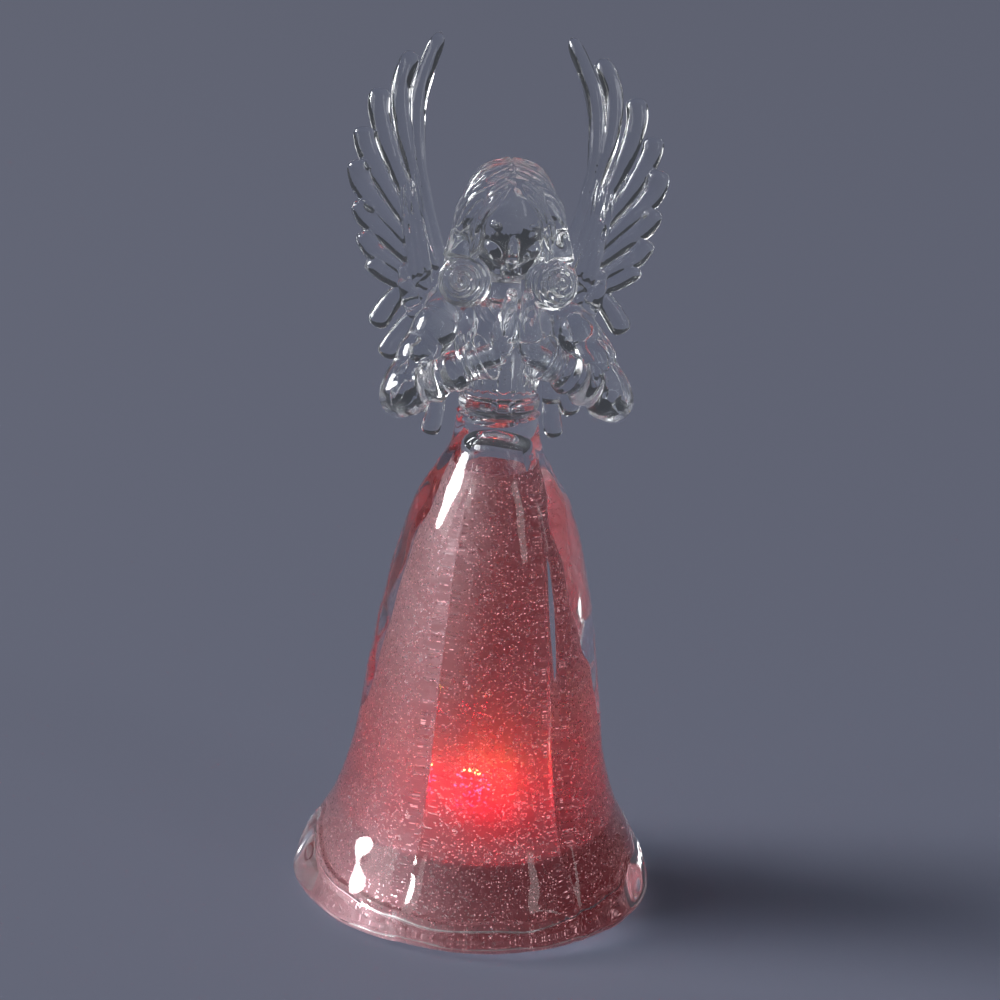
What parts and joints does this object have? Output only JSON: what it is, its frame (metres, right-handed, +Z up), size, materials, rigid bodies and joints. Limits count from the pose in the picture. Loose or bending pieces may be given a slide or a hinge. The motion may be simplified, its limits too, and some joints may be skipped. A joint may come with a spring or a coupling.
{
  "type": "light-up angel figurine",
  "caption": "Clear acrylic praying angel with feathered wings on a hollow folded skirt, lit from inside by a lamp plug with button cells, a slide switch and a screwed battery cover.",
  "frame": {"origin": "centre of the base on the table, under the skirt's axis", "axes": "+Z up, -Y the way the angel faces, +X towards the angel's own left hand"},
  "size_m": [0.0654, 0.0666, 0.1553],
  "materials": {
    "acrylic": "clear moulded acrylic, polished",
    "white_plastic": "moulded, slightly translucent white",
    "steel": "nickel-plated steel",
    "cell_steel": "polished cell can",
    "black_plastic": "moulded black",
    "board": "brown phenolic board",
    "lamp": "clear epoxy lamp, glowing red",
    "resistor": "lacquered resistor body",
    "red_insulation": "soft red insulation",
    "black_insulation": "soft black insulation",
    "white_insulation": "soft white insulation"
  },
  "bodies": {
    "figure": {"skirt_shell": "acrylic", "bodice": "acrylic", "head": "acrylic", "left_arm": "acrylic", "right_arm": "acrylic", "left_wing": "acrylic", "right_wing": "acrylic", "base_plug": "white_plastic", "button_cell_1": "cell_steel", "button_cell_2": "cell_steel", "button_cell_3": "cell_steel", "contact_upper_bridge": "steel", "contact_negative": "steel", "contact_side_positive": "steel", "switch_can": "steel", "switch_terminal_board": "board", "led_lamp": "lamp", "led_anode_lead": "steel", "led_cathode_lead": "steel", "led_resistor": "resistor", "wire_red": "red_insulation", "wire_black": "black_insulation", "wire_white": "white_insulation"},
    "cover": {"battery_cover": "white_plastic", "contact_lower_bridge": "steel"},
    "screw": {"cover_screw": "steel"},
    "switch_knob": {"switch_slider": "black_plastic"}
  },
  "joints": [
    {"name": "cover_lift_off", "type": "slide", "parent": "figure", "child": "cover", "axis": [0, 0, -1], "range_m": [0, 0.012]},
    {"name": "cover_screw_turn", "type": "hinge", "parent": "cover", "child": "screw", "pos_m": [0.01165, -0.00673, 0.001], "axis": [0, 0, 1], "continuous": true},
    {"name": "switch_slide", "type": "slide", "parent": "figure", "child": "switch_knob", "axis": [1, 0, 0], "range_m": [-0.002, 0]}
  ]
}
